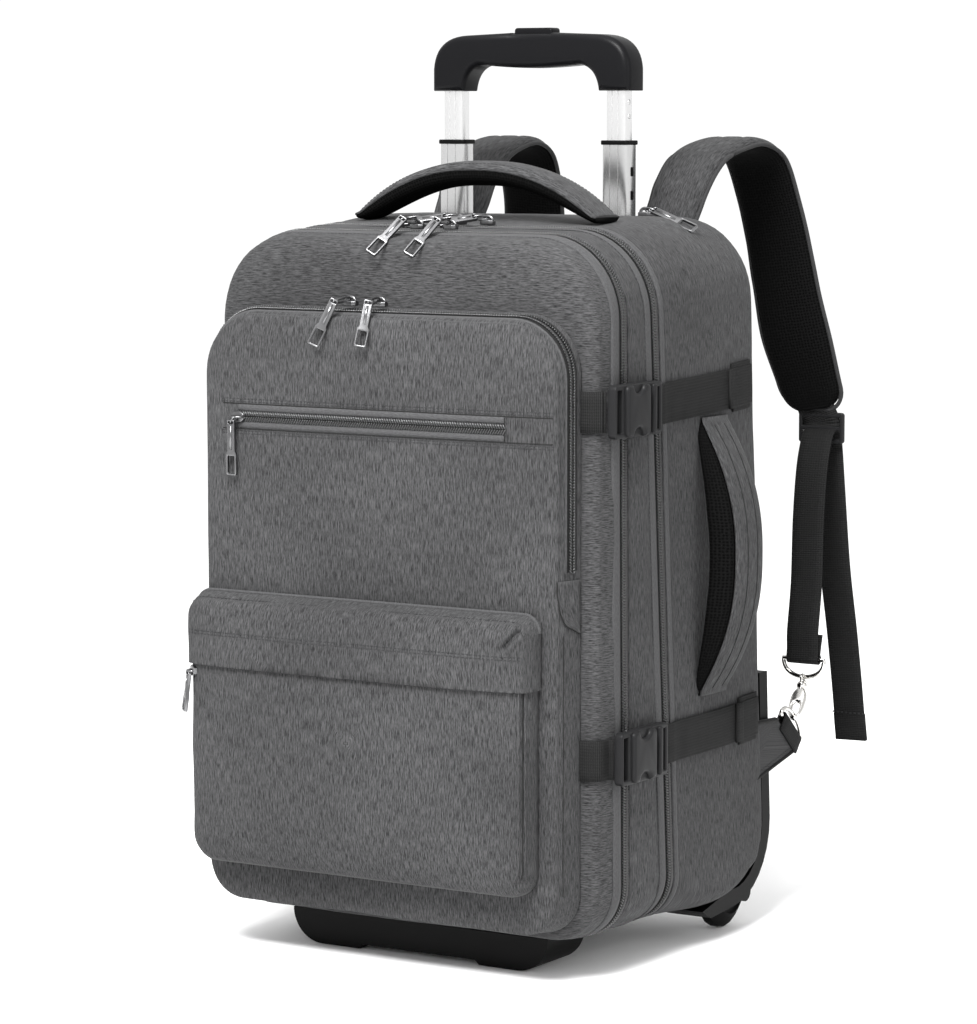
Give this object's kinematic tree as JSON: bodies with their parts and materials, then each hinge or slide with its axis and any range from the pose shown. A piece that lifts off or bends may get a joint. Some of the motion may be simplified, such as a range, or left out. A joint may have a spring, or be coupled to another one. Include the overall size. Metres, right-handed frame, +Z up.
{
  "type": "wheeled backpack",
  "caption": "Soft grey backpack on wheels with a telescopic trolley, front pockets, clip-on shoulder straps and side compression straps.",
  "frame": {"origin": "on the floor under the middle of the bag's bounding box", "axes": "+Z up along the trolley tubes, -Y the bag's front, +X the side with the carry handle"},
  "size_m": [0.3866, 0.4964, 0.6974],
  "materials": {
    "grey_heather": "heather polyester weave, matte",
    "air_mesh": "black spacer mesh",
    "black_webbing": "ribbed nylon webbing",
    "zip_coil": "dark zip tape and coil",
    "gunmetal": "satin gunmetal",
    "nickel": "bright nickel",
    "aluminium": "satin anodised",
    "wheel_rubber": "matte",
    "black_plastic": "moulded, fine grain",
    "grip_plastic": "satin moulded"
  },
  "bodies": {
    "bag": {"front_compartment": "grey_heather", "middle_gusset": "grey_heather", "rear_compartment": "grey_heather", "back_panel": "air_mesh", "organizer": "grey_heather", "front_pocket": "grey_heather", "pocket_flap": "grey_heather", "zip_front": "zip_coil", "zip_main": "zip_coil", "zip_organizer": "zip_coil", "top_handle": "grey_heather", "side_handle": "grey_heather", "rear_plate": "black_plastic", "front_foot": "black_plastic", "trolley_base": "aluminium", "pull_front_a": "gunmetal", "pull_front_b": "gunmetal", "pull_main_a": "gunmetal", "pull_main_b": "gunmetal", "pull_organizer_a": "gunmetal", "pull_organizer_b": "gunmetal", "pull_slash": "gunmetal", "pull_pocket": "gunmetal", "pull_rear": "gunmetal", "shoulder_pad_right": "grey_heather", "strap_webbing_right": "black_webbing", "ladder_lock_right": "black_plastic", "strap_ring_right": "nickel", "snap_hook_right": "nickel", "tab_ring_right": "nickel", "strap_tab_right": "grey_heather", "compression_web_front_upper_right": "black_webbing", "compression_buckle_upper_right": "black_plastic", "compression_web_rear_upper_right": "black_webbing", "compression_web_front_lower_right": "black_webbing", "compression_buckle_lower_right": "black_plastic", "compression_web_rear_lower_right": "black_webbing", "shoulder_pad_left": "grey_heather", "strap_webbing_left": "black_webbing", "ladder_lock_left": "black_plastic", "strap_ring_left": "nickel", "snap_hook_left": "nickel", "tab_ring_left": "nickel", "strap_tab_left": "grey_heather", "compression_web_front_upper_left": "black_webbing", "compression_buckle_upper_left": "black_plastic", "compression_web_rear_upper_left": "black_webbing", "compression_web_front_lower_left": "black_webbing", "compression_buckle_lower_left": "black_plastic", "compression_web_rear_lower_left": "black_webbing"},
    "trolley_lower": {"lower_tube_right": "aluminium", "lower_tube_left": "aluminium"},
    "trolley_upper": {"upper_tube_right": "aluminium", "upper_tube_left": "aluminium", "grip": "grip_plastic"},
    "button": {"grip_button": "grip_plastic"},
    "wheel_right": {"wheel_right": "wheel_rubber"},
    "wheel_left": {"wheel_left": "wheel_rubber"}
  },
  "joints": [
    {"name": "trolley_lower_slide", "type": "slide", "parent": "bag", "child": "trolley_lower", "axis": [0, 0, 1], "range_m": [-0.055, 0.17]},
    {"name": "trolley_upper_slide", "type": "slide", "parent": "trolley_lower", "child": "trolley_upper", "axis": [0, 0, 1], "range_m": [-0.037, 0.17]},
    {"name": "button_press", "type": "slide", "parent": "trolley_upper", "child": "button", "axis": [0, 0, -1], "range_m": [0, 0.003], "stiffness_N_per_m": 500, "springref_m": -0.002},
    {"name": "wheel_right_spin", "type": "hinge", "parent": "bag", "child": "wheel_right", "pos_m": [0.12791, 0.04623, 0.03], "axis": [1, 0, 0], "continuous": true},
    {"name": "wheel_left_spin", "type": "hinge", "parent": "bag", "child": "wheel_left", "pos_m": [-0.15209, 0.04623, 0.03], "axis": [1, 0, 0], "continuous": true}
  ]
}
